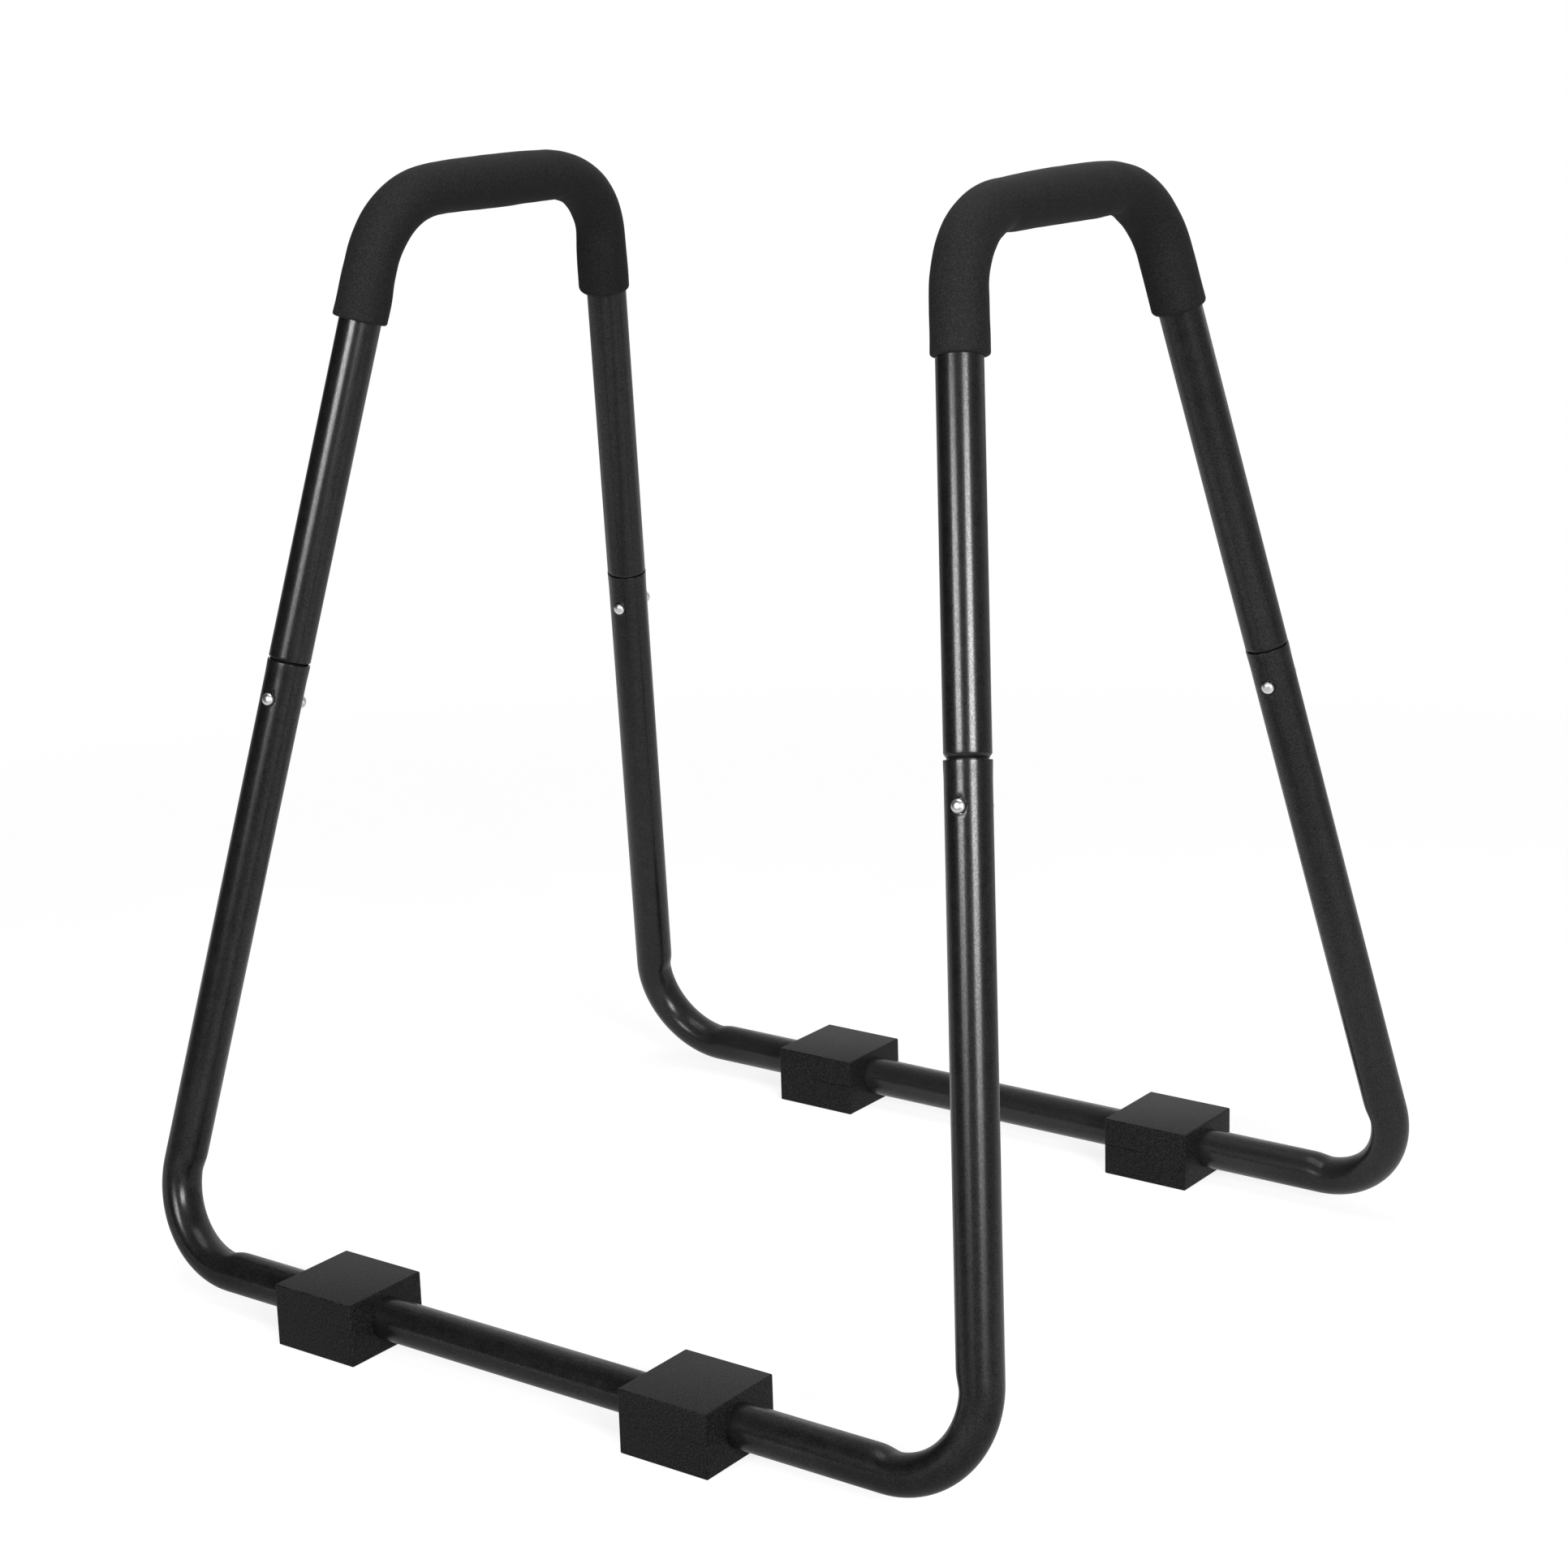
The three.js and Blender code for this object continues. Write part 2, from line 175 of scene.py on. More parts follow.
WHITE = (1, 1, 1, 1)
BLACK = (0, 0, 0, 1)

Leg = namedtuple("Leg", "name side foot head rise length")
Station = namedtuple("Station", "place distance")


def leg_axis(name, side, row):
    """A leg's axis, from the corner at its foot to the corner under its handle."""
    foot = Vector((side * BASE_LENGTH / 2, row * BASE_SPREAD / 2, BASE_HEIGHT))
    head = Vector((side * HANDLE_SPACING / 2, row * HANDLE_LENGTH / 2, HANDLE_HEIGHT))
    return Leg(name, side, foot, head, (head - foot).normalized(), (head - foot).length)


# Each leg's side, left or right, and its row, front or rear.
CORNERS = {"front_left": (-1, -1), "front_right": (1, -1), "rear_left": (-1, 1), "rear_right": (1, 1)}
LEGS = {name: leg_axis(name, *corner) for name, corner in CORNERS.items()}


def up_leg(leg, distance):
    return leg.foot + leg.rise * distance


def smooth(value):
    """Runs from 0 to 1 with a soft start and a soft end."""
    value = min(max(value, 0), 1)
    return value * value * (3 - 2 * value)


class Route:
    """Three straight runs joined by two round bends, all in one plane.

    A station's place has x towards the inside of the bends, y across them and z along the route.
    """

    def __init__(self, start, first, second, end):
        corners = [start, first, second, end]
        self.ways = [(b - a).normalized() for a, b in zip(corners, corners[1:])]
        self.across = self.ways[0].cross(self.ways[1]).normalized()
        turns = [a.angle(b) for a, b in zip(self.ways, self.ways[1:])]
        reach = [BEND_RADIUS * math.tan(turn / 2) for turn in turns]
        self.starts = [start, first + self.ways[1] * reach[0], second + self.ways[2] * reach[1]]
        straights = [
            (first - start).length - reach[0],
            (second - first).length - reach[0] - reach[1],
            (end - second).length - reach[1],
        ]
        arcs = [BEND_RADIUS * turn for turn in turns]
        marks = [0]
        for length in (straights[0], arcs[0], straights[1], arcs[1], straights[2]):
            marks.append(marks[-1] + length)
        self.bends = [(marks[1], marks[2]), (marks[3], marks[4])]
        self.length = marks[5]

    def station(self, distance):
        for i, (start, end) in enumerate(self.bends):
            if distance < start:
                run = distance - (self.bends[i - 1][1] if i else 0)
                return self.framed(self.starts[i] + self.ways[i] * run, self.ways[i], distance)
            if distance <= end:
                return self.bent(i, (distance - start) / BEND_RADIUS, distance)
        run = distance - self.bends[1][1]
        return self.framed(self.starts[2] + self.ways[2] * run, self.ways[2], distance)

    def bent(self, i, angle, distance):
        before = self.ways[i]
        run = self.bends[i][0] - (self.bends[i - 1][1] if i else 0)
        centre = self.starts[i] + before * run + self.across.cross(before) * BEND_RADIUS
        along = Matrix.Rotation(angle, 3, self.across) @ before
        return self.framed(centre + along.cross(self.across) * BEND_RADIUS, along, distance)

    def framed(self, centre, along, distance):
        inward = self.across.cross(along)
        place = Matrix((inward, along.cross(inward), along)).transposed().to_4x4()
        place.translation = centre
        return Station(place, distance)

    def to_end(self, distance):
        return max(min(distance, self.length - distance), 0)


def stops(*zones):
    """Distances along a route: each zone is (start, end, longest step)."""
    found = []
    for start, end, step in zones:
        count = max(1, math.ceil((end - start) / step - TINY))
        found += [start + (end - start) * i / count for i in range(count)]
    found.append(zones[-1][1])
    return found


def between_ends(route, start, middle, end):
    """The stops of a route: those at its start, the middle ones, and those counted back from its end."""
    return start[:-1] + middle[:-1] + [route.length - stop for stop in reversed(end)]


def sleeve(name, route, outer, inner, outer_stops, inner_stops):
    """A closed sleeve, turned as a straight tube and then laid along its route.

    outer and inner give the shape of its skin and of its bore at an angle and a distance.
    """
    rings = [(route.station(stop), outer, 2 * TUBE_RADIUS) for stop in outer_stops]
    rings += [(route.station(stop), inner, TUBE_RADIUS) for stop in reversed(inner_stops)]
    skin = bmesh.new()
    number = skin.verts.layers.int.new("ring")
    section = []
    for i, (station, _, radius) in enumerate(rings):
        point = skin.verts.new((radius, 0, station.distance))
        point[number] = i
        section.append(point)
    edges = [skin.edges.new(pair) for pair in zip(section, section[1:] + section[:1])]
    turned_round(skin, section + edges, TUBE_SIDES)
    for vert in skin.verts:
        station, shape, _ = rings[vert[number]]
        vert.co = station.place @ shape(math.atan2(vert.co.y, vert.co.x), station.distance)
    skin.verts.layers.int.remove(number)
    bmesh.ops.recalc_face_normals(skin, faces=list(skin.faces))
    return finished(name, skin)


def turned_round(skin, section, steps):
    """Spins a section about the upright axis to a closed round body."""
    bmesh.ops.spin(
        skin, geom=section, cent=(0, 0, 0), axis=(0, 0, 1), angle=2 * math.pi, steps=steps, use_merge=True
    )


def finished(name, skin, crease=CREASE):
    """A piece made from a bmesh, smooth but for its creases."""
    mesh = bpy.data.meshes.new(name)
    skin.to_mesh(mesh)
    skin.free()
    piece = bpy.data.objects.new(name, mesh)
    bpy.context.scene.collection.objects.link(piece)
    shade(piece, crease)
    return piece


def shade(piece, crease=CREASE):
    piece.data.shade_smooth()
    piece.data.set_sharp_from_angle(angle=math.radians(crease))


def baked(piece):
    """Applies a piece's modifiers to its mesh."""
    bpy.context.view_layer.update()
    evaluated = piece.evaluated_get(bpy.context.evaluated_depsgraph_get())
    mesh = bpy.data.meshes.new_from_object(evaluated)
    piece.modifiers.clear()
    piece.data = mesh


def cut(piece, cutters):
    """Cuts the cutters' shapes out of a piece."""
    for cutter in cutters:
        difference = piece.modifiers.new("cut", "BOOLEAN")
        difference.operation = "DIFFERENCE"
        difference.solver = "EXACT"
        difference.object = cutter
    baked(piece)
    for cutter in cutters:
        bpy.data.objects.remove(cutter)


def bevel(piece, width):
    """Bevels the edges that a cut leaves."""
    edge = piece.modifiers.new("edge", "BEVEL")
    edge.limit_method = "ANGLE"
    edge.angle_limit = math.radians(BEVEL_ANGLE)
    edge.width = width
    edge.segments = 2
    baked(piece)


def facing(way, place, axis="Z"):
    """The transform that puts a thing at a place with its axis along a direction."""
    return Matrix.Translation(place) @ way.to_track_quat(axis, "Y").to_matrix().to_4x4()


def round_cutter(radius, start, way, length, sides=BUTTON_SIDES):
    """A cylinder that stands on a point and points along a direction."""
    place = facing(way, start + way * length / 2)
    tool = bmesh.new()
    bmesh.ops.create_cone(
        tool, cap_ends=True, segments=sides, radius1=radius, radius2=radius, depth=length, matrix=place
    )
    return finished("cutter", tool)


def button_ways(leg):
    """Where a leg's two buttons point, square to the leg."""
    forward = Vector((1, 0, 0)).cross(leg.rise).normalized()
    front = Matrix.Rotation(math.radians(FRONT_BUTTON_TURN), 3, leg.rise) @ forward
    back = Matrix.Rotation(math.radians(-BACK_BUTTON_TURN[leg.side]), 3, leg.rise) @ -forward
    return {"front": front, "back": back}


def button_centre(leg, above=0):
    return up_leg(leg, LOWER_LEG_LENGTH - BUTTON_DROP + above)


def drill_buttons(piece, legs):
    """Cuts the button holes of its legs into a tube and softens their edges."""
    reach = TUBE_RADIUS * 1.5
    drills = [
        round_cutter(HOLE_RADIUS, button_centre(leg), way, reach)
        for leg in legs
        for way in button_ways(leg).values()
    ]
    cut(piece, drills)
    bevel(piece, HOLE_BEVEL)
    shade(piece)


def rounded_off(to_end, round_over):
    """How far a rounded rim falls back at a distance from the end."""
    if to_end >= round_over:
        return 0
    return round_over - math.sqrt(round_over**2 - (round_over - to_end) ** 2)


def press_share(route, distance):
    """How much of the bending die's full press the tube shows at a distance."""
    share = 0
    for start, end in route.bends:
        rise = smooth((distance - start + PRESS_RUN) / (2 * PRESS_RUN))
        fall = smooth((end + PRESS_RUN - distance) / (2 * PRESS_RUN))
        share = max(share, rise * fall)
    return share


def tube_ring(route, radius):
    """The shape of a tube's rings, pressed in on the inside of its bends."""

    def shape(angle, distance):
        size = radius(distance)
        x = size * math.cos(angle)
        if x > 0:
            x *= 1 - PRESS_DEPTH * press_share(route, distance) / TUBE_RADIUS
        return Vector((x, size * math.sin(angle), 0))

    return shape


def bend_zones(route, first, step, bend_step):
    """Stop zones from a first distance to its mirror image, closer through the bends."""
    margin = 1.4 * PRESS_RUN
    zones = []
    start = first
    for bend_start, bend_end in route.bends:
        zones.append((start, bend_start - margin, step))
        zones.append((bend_start - margin, bend_end + margin, bend_step))
        start = bend_end + margin
    zones.append((start, route.length - first, step))
    return zones


def rim(leg):
    """Where a base tube's rim stands on its leg."""
    return LOWER_LEG_LENGTH + RIM_SHIFTS[leg.name]


def tube(name, legs, route, radius, close):
    """A tube along a route, rounded at its rims and drilled for the buttons of its legs."""

    def outer_radius(distance):
        return radius(distance) - rounded_off(route.to_end(distance), RIM_ROUND)

    def inner_radius(distance):
        return radius(distance) - TUBE_WALL + rounded_off(route.to_end(distance), RIM_ROUND)

    outer, inner = tube_ring(route, outer_radius), tube_ring(route, inner_radius)
    piece = sleeve(name, route, outer, inner, close, close)
    drill_buttons(piece, legs)
    return piece


def base_tube(name, left, right):
    """One run along the floor and two legs, open at both rims."""
    route = Route(up_leg(left, rim(left)), left.foot, right.foot, up_leg(right, rim(right)))

    def radius(distance):
        return TUBE_RADIUS + RIM_FLARE * smooth(1 - route.to_end(distance) / FLARE_LENGTH)

    end = stops(
        (0, RIM_ROUND, RIM_ROUND / RIM_STEPS),
        (RIM_ROUND, FLARE_LENGTH, CLOSE_STEP),
        (FLARE_LENGTH, END_REACH, END_STEP),
    )
    middle = stops(*bend_zones(route, END_REACH, STRAIGHT_STEP, BEND_STEP))
    return tube(name, (left, right), route, radius, between_ends(route, end, middle, end))


def handle_tube(name, front, rear):
    """One bar and two legs, each ending in a tapered shoulder and a neck."""
    neck_start = LOWER_LEG_LENGTH + NECK_START
    route = Route(up_leg(front, neck_start), front.head, rear.head, up_leg(rear, neck_start))

    def shoulder(leg):
        start = rim(leg) + NECK_END - neck_start
        return start, start + SHOULDERS[leg.name]

    shoulders_end = max(shoulder(front)[1], shoulder(rear)[1]) + SHOULDER_MARGIN

    def radius(distance):
        start, end = shoulder(front if distance < route.length / 2 else rear)
        swell = smooth((route.to_end(distance) - start) / (end - start))
        return NECK_RADIUS + (TUBE_RADIUS - NECK_RADIUS) * swell

    def end_stops(leg):
        start, end = shoulder(leg)
        return stops(
            (0, RIM_ROUND, RIM_ROUND / RIM_STEPS),
            (RIM_ROUND, start, END_STEP),
            (start, end, (end - start) / SHOULDER_STEPS),
            (end, shoulders_end, CLOSE_STEP),
        )

    middle = stops(*bend_zones(route, shoulders_end, STRAIGHT_STEP, BEND_STEP))
    close = between_ends(route, end_stops(front), middle, end_stops(rear))
    return tube(name, (front, rear), route, radius, close)


# How each grip's foam lies: how far its skin stands out from its plain round on the outside and on the
# inside of its bends, as (position, millimetres). Position 0 is its front end, 1 to 2 the front bend,
# 2 to 3 the bar, 3 to 4 the rear bend and 5 its rear end.
GRIP_LIES = {
    "left": {
        "outside": (
            (0, 2.6), (0.25, 2.1), (0.75, 1.8), (1, 1.4), (1.3, 1.6), (1.5, 1.1), (1.65, 0.5), (1.93, -0.3),
            (2.17, 1.1), (2.6, 1.7), (2.9, 0.8), (3.0, -0.6), (3.14, -2.4), (3.3, -3.2), (3.5, -3.2),
            (3.8, -2.9), (4.1, -2.1), (4.5, -1.2), (5, -1.0),
        ),
        "inside": (
            (0, 1.0), (0.45, 1.1), (0.75, -0.3), (1.05, -0.3), (1.25, 0.3), (1.7, 0.7), (1.95, 0.5),
            (2.1, -0.3), (2.5, 0.1), (2.75, -0.5), (3.0, -0.4), (3.06, 0.9), (3.2, 1.8), (3.5, 2.9),
            (3.7, 2.9), (3.95, 2.1), (4.1, 2.6), (4.3, 3.4), (5, 3.8),
        ),
    },
    "right": {
        "outside": (
            (0, -0.2), (0.83, -0.5), (1, -0.9), (1.14, -1.8), (1.43, -2.3), (1.71, -3.2), (2.0, -3.0),
            (2.17, -2.0), (2.33, -1.2), (2.5, -0.8), (2.83, -0.8), (3.0, -1.8), (3.14, -2.8),
            (3.29, -2.2), (3.57, -1.8), (3.71, -1.5), (4, -0.4), (5, 0.1),
        ),
        "inside": (
            (0, 1.8), (0.5, 1.5), (1.0, 1.1), (1.14, 1.3), (1.29, 1.8), (1.71, 1.9), (1.86, 1.1),
            (2.0, -0.1), (2.1, 0.5), (2.3, 0.3), (2.83, 0.6), (3.0, -0.1), (3.14, 0.9), (3.29, 1.6),
            (3.43, 2.5), (3.57, 2.5), (3.86, 1.9), (4.0, 1.5), (4.5, 1.5), (5, 2.0),
        ),
    },
}


def curve(points, at):
    """The height at a position of a smooth line through points."""
    places = [place for place, _ in points]
    heights = [height for _, height in points]
    last = len(points) - 1

    def slope(i):
        before, after = max(i - 1, 0), min(i + 1, last)
        return (heights[after] - heights[before]) / (places[after] - places[before])

    i = min(sum(place <= at for place in places[1:]), last - 1)
    width = places[i + 1] - places[i]
    share = min(max((at - places[i]) / width, 0), 1)
    bow = share * (1 - share) * ((1 - share) * slope(i) - share * slope(i + 1)) * width
    return heights[i] + (heights[i + 1] - heights[i]) * smooth(share) + bow


def grip_sleeve(name, front, rear, lie, seed):
    """Foam over the bar, both bends and the top of the legs, bunched inside the bends."""
    ends = [up_leg(leg, leg.length - GRIP_DROPS[leg.name]) for leg in (front, rear)]
    route = Route(ends[0], front.head, rear.head, ends[1])
    marks = [0, *route.bends[0], *route.bends[1], route.length]

    def position(distance):
        i = min(sum(mark <= distance for mark in marks[1:]), 4)
        return i + (distance - marks[i]) / (marks[i + 1] - marks[i])

    def lift(angle, distance):
        side = math.cos(angle)
        height = curve(lie["inside" if side > 0 else "outside"], position(distance))
        return abs(side) * height / 1000

    def outer(angle, distance):
        end = GRIP_ROUNDS[front.name if distance < route.length / 2 else rear.name]
        spot = Vector((math.cos(angle), math.sin(angle), distance / GRIP_WAVE_LENGTH))
        radius = GRIP_RADIUS + lift(angle, distance) + GRIP_WAVE * noise.noise(spot + seed)
        radius = max(radius, GRIP_BORE + GRIP_MIN_WALL)
        radius -= rounded_off(route.to_end(distance), min(end, radius - GRIP_BORE - GRIP_MIN_WALL / 2))
        return Vector((radius * math.cos(angle), radius * math.sin(angle), 0))

    def bore(angle, distance):
        return Vector((GRIP_BORE * math.cos(angle), GRIP_BORE * math.sin(angle), 0))

    end = stops((0, GRIP_RIM_REACH, GRIP_RIM_STEP), (GRIP_RIM_REACH, GRIP_END_REACH, GRIP_END_STEP))
    middle = stops((GRIP_END_REACH, route.length - GRIP_END_REACH, GRIP_STEP))
    inner = stops(*bend_zones(route, 0, STRAIGHT_STEP, 2 * BEND_STEP))
    return sleeve(name, route, outer, bore, between_ends(route, end, middle, end), inner)


def plain_block(size, middle):
    """A block with sharp edges, as a bmesh."""
    block = bmesh.new()
    bmesh.ops.create_cube(block, size=1)
    place = Matrix.Translation(middle) @ Matrix.Diagonal((*size, 1))
    bmesh.ops.transform(block, matrix=place, verts=list(block.verts))
    return block


def foot_block(name, leg):
    """A square foam block with softened edges, bored for the base tube and slit to the front."""
    place = leg.foot.x * FOOT_SHARES[leg.name]
    size = (FOOT_LENGTH, FOOT_DEPTH, FOOT_HEIGHT)
    block = plain_block(size, (place, leg.foot.y, FOOT_HEIGHT / 2))
    bmesh.ops.bevel(
        block,
        geom=list(block.edges),
        offset=FOOT_EDGE,
        offset_type="OFFSET",
        affect="EDGES",
        segments=4,
        profile=0.5,
        material=-1,
    )
    bmesh.ops.recalc_face_normals(block, faces=list(block.faces))
    piece = finished(name, block)
    axis = Vector((place - FOOT_LENGTH, leg.foot.y, BASE_HEIGHT))
    bore = round_cutter(FOOT_BORE, axis, Vector((1, 0, 0)), 2 * FOOT_LENGTH, TUBE_SIDES)
    low, high, gap = FOOT_SLITS[leg.name]
    slit_size = ((high - low) * FOOT_LENGTH, FOOT_DEPTH, gap)
    slit_middle = (place + (low + high) / 2 * FOOT_LENGTH, leg.foot.y - FOOT_DEPTH / 2, BASE_HEIGHT)
    slit = finished("cutter", plain_block(slit_size, slit_middle))
    cut(piece, [bore, slit])
    shade(piece)
    return piece


def snap_button(name, leg, way):
    """A polished plug with a domed end, on a rivet through the spring clip behind it."""
    dome_base = TUBE_RADIUS + BUTTON_STAND - DOME_HEIGHT
    profile = [
        (0, RIVET_HEAD_START),
        (RIVET_HEAD_RADIUS, RIVET_HEAD_START),
        (RIVET_HEAD_RADIUS, RIVET_HEAD_END),
        (RIVET_RADIUS, RIVET_HEAD_END),
        (RIVET_RADIUS, BUTTON_START),
        (BUTTON_RADIUS - BUTTON_CHAMFER, BUTTON_START),
        (BUTTON_RADIUS, BUTTON_START + BUTTON_CHAMFER),
        (BUTTON_RADIUS, dome_base - DOME_EDGE),
    ]
    for i in range(DOME_STEPS + 1):
        angle = math.pi / 2 * i / DOME_STEPS
        profile.append((BUTTON_RADIUS * math.cos(angle), dome_base + DOME_HEIGHT * math.sin(angle)))
    plug = bmesh.new()
    points = [plug.verts.new((x, 0, z)) for x, z in profile]
    edges = [plug.edges.new(pair) for pair in zip(points, points[1:])]
    turned_round(plug, points + edges, BUTTON_SIDES)
    bmesh.ops.remove_doubles(plug, verts=list(plug.verts), dist=TINY)
    bmesh.ops.transform(plug, matrix=facing(way, button_centre(leg)), verts=list(plug.verts))
    bmesh.ops.recalc_face_normals(plug, faces=list(plug.faces))
    return finished(name, plug, BUTTON_CREASE)


def spring_arm(name, leg, side):
    """Half of a folded spring clip, up to the middle of its fold: the arm behind one button."""
    ways = button_ways(leg)
    other = ways["back" if side == "front" else "front"]
    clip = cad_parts[f"{leg.name}_snap_spring"]
    arm = bmesh.new()
    arm.from_mesh(clip.data)
    arm.transform(clip.matrix_world)
    bmesh.ops.remove_doubles(arm, verts=list(arm.verts), dist=TINY)
    bmesh.ops.bisect_plane(
        arm,
        geom=[*arm.verts, *arm.edges, *arm.faces],
        dist=TINY,
        plane_co=leg.foot,
        plane_no=ways[side] - other,
        clear_inner=True,
    )
    bmesh.ops.holes_fill(arm, edges=[edge for edge in arm.edges if edge.is_boundary])
    bmesh.ops.recalc_face_normals(arm, faces=list(arm.faces))
    return finished(name, arm)


class Value:
    """A number that varies over a surface. Sums on it add Math nodes."""

    def __init__(self, finish, socket):
        self.finish = finish
        self.socket = socket

    def math(self, operation, *values):
        inputs = dict(enumerate((self, *values)))
        return self.finish.node("ShaderNodeMath", {"operation": operation}, inputs)

    def __add__(self, other):
        return self.math("ADD", other)

    def __radd__(self, other):
        return self + other

    def __rsub__(self, other):
        return self.finish.node("ShaderNodeMath", {"operation": "SUBTRACT"}, {0: other, 1: self})

    def __mul__(self, other):
        return self.math("MULTIPLY", other)

    def __rmul__(self, other):
        return self * other


class Finish:
    """The nodes of a procedural material or of the world."""

    def __init__(self, owner):
        owner.use_nodes = True
        self.owner = owner
        self.tree = owner.node_tree
        self.tree.nodes.clear()

    def node(self, kind, settings=None, inputs=None, output=0):
        made = self.tree.nodes.new(kind)
        for name, value in (settings or {}).items():
            if name == "stops":
                self.colour_stops(made.color_ramp, value)
            else:
                setattr(made, name, value)
        for name, value in (inputs or {}).items():
            if isinstance(value, Value):
                self.tree.links.new(value.socket, made.inputs[name])
            else:
                made.inputs[name].default_value = value
        if not made.outputs:
            return None
        return Value(self, made.outputs[output])

    def colour_stops(self, ramp, greys):
        while len(ramp.elements) < len(greys):
            ramp.elements.new(0.5)
        for element, (position, grey) in zip(ramp.elements, greys):
            element.position = position
            element.color = (grey, grey, grey, 1)

    def axis(self, vector, axis):
        return self.node("ShaderNodeSeparateXYZ", inputs={"Vector": vector}, output=axis)

    def along(self, vector, way):
        """How far a vector reaches along a direction."""
        settings = {"operation": "DOT_PRODUCT"}
        return self.node("ShaderNodeVectorMath", settings, {0: vector, 1: way}, output="Value")

    def grain(self, place, scale, detail=2, roughness=0.5):
        return self.node(
            "ShaderNodeTexNoise",
            {"noise_dimensions": "3D"},
            {"Vector": place, "Scale": scale, "Detail": detail, "Roughness": roughness},
        )

    def stretched(self, place, scale):
        return self.node("ShaderNodeMapping", inputs={"Vector": place, "Scale": scale})

    def ramp(self, value, *greys):
        return self.node("ShaderNodeValToRGB", {"stops": greys}, {"Fac": value})

    def mix(self, factor, first, second):
        """A mix of two colours, by the colour sockets of a Mix node."""
        return self.node(
            "ShaderNodeMix", {"data_type": "RGBA"}, {0: factor, 6: first, 7: second}, output=2
        )

    def bump(self, height, distance, **below):
        """The normal of a relief. Normal, if given, is that of a relief below it."""
        return self.node("ShaderNodeBump", inputs={"Height": height, "Distance": distance, **below})

    def shader(self, kind, **inputs):
        named = {name.replace("_", " "): value for name, value in inputs.items()}
        return self.node(kind, inputs=named)

    def surface(self, **inputs):
        shader = self.shader("ShaderNodeBsdfPrincipled", **inputs)
        self.node("ShaderNodeOutputMaterial", inputs={"Surface": shader})
        return self.owner


def new_finish(name):
    """A finish, and the places on the pieces that wear it."""
    finish = Finish(bpy.data.materials.new(name))
    return finish, finish.node("ShaderNodeTexCoord", output="Object")


def powder_coat():
    """Semi-gloss black powder coat with a fine orange peel and a finer grain.

    It is a little duller on the lower tubes and in their bends, and painted a lighter grey on the rear run
    along the floor.
    Its ramps read places in metres.
    """
    dark = (0.002, 0.002, 0.002, 1)
    light = (0.014, 0.014, 0.0144, 1)
    rear_run_grey = (0.019, 0.019, 0.0194, 1)
    finish, place = new_finish("black_powder_coat")
    sideways = finish.axis(place, "X").math("ABSOLUTE")
    rearward = finish.axis(place, "Y")
    height = finish.axis(place, "Z")
    lower = finish.ramp(height, (0.465, 1.0), (0.485, 0.0))
    bend = finish.ramp(sideways, (0.25, 0.0), (0.285, 1.0), (0.32, 1.0), (0.36, 0.4))
    bend = bend * finish.ramp(height, (0.09, 1.0), (0.15, 0.0))
    # The rear run along the floor, low down, is painted a lighter grey.
    rear_run_share = finish.ramp(rearward, (0.15, 0.0), (0.28, 1.0)) * finish.ramp(height, (0.06, 1.0), (0.13, 0.0))
    mottle = finish.ramp(finish.grain(place, scale=90, detail=3), (0.3, 0.0), (0.7, 1.0))
    grit = finish.grain(place, scale=1000, detail=3, roughness=0.6)
    grit = finish.ramp(grit, (0.36, 0.0), (0.64, 1.0))
    peel = finish.grain(place, scale=420, detail=1)
    colour = finish.mix(mottle * 0.3 + grit * 0.7, dark, light)
    colour = finish.mix(rear_run_share * (0.4 + 0.6 * grit), colour, rear_run_grey)
    normal = finish.bump(peel, 0.00003)
    normal = finish.bump(grit * (1 + 1.5 * bend), 0.00002, Normal=normal)
    return finish.surface(
        Base_Color=colour,
        Roughness=0.3 + 0.05 * mottle + 0.08 * grit,
        Specular_IOR_Level=0.1,
        Coat_Weight=(0.36 - 0.08 * lower + 0.56 * grit) * (1 - 0.5 * bend),
        Coat_Roughness=0.2,
        Normal=normal,
    )


def foam_colour(finish, cells, cloud, skin, wall, pore):
    """Foam that clouds between the two tones of its skin, pale on its cells' walls and dark in its pores."""
    colour = finish.mix(cloud, *skin)
    colour = finish.mix(finish.ramp(cells, (0.48, 0.0), (0.68, 1.0)), colour, wall)
    return finish.mix(finish.ramp(cells, (0.32, 1.0), (0.5, 0.0)), colour, pore)


def grip_foam():
    """Matte black closed-cell foam with a skin, finely pored."""
    skin = (0.0062, 0.0062, 0.0064, 1), (0.008, 0.008, 0.0082, 1)
    wall = (0.02, 0.02, 0.0204, 1)
    pore = (0.003, 0.003, 0.003, 1)
    finish, place = new_finish("grip_foam")
    cells = finish.grain(place, scale=1000, roughness=0.6)
    cloud = finish.grain(place, scale=70, detail=3)
    return finish.surface(
        Base_Color=foam_colour(finish, cells, cloud, skin, wall, pore),
        Roughness=0.7 + 0.12 * cells,
        Normal=finish.bump(cells, 0.00012),
        Specular_IOR_Level=0.2,
        Sheen_Weight=0.02,
    )


def foot_foam():
    """Matte black foam, cut square: open cells on every face."""
    skin = (0.004, 0.004, 0.0041, 1), (0.006, 0.006, 0.0062, 1)
    wall = (0.026, 0.026, 0.0265, 1)
    pore = (0.001, 0.001, 0.001, 1)
    finish, place = new_finish("foot_foam")
    cells = finish.grain(place, scale=850, roughness=0.65)
    cloud = finish.grain(place, scale=60, detail=3)
    return finish.surface(
        Base_Color=foam_colour(finish, cells, cloud, skin, wall, pore),
        Roughness=0.4 + 0.12 * cells,
        Normal=finish.bump(cells, 0.00035),
        Specular_IOR_Level=0.12,
        Sheen_Weight=0.03,
    )


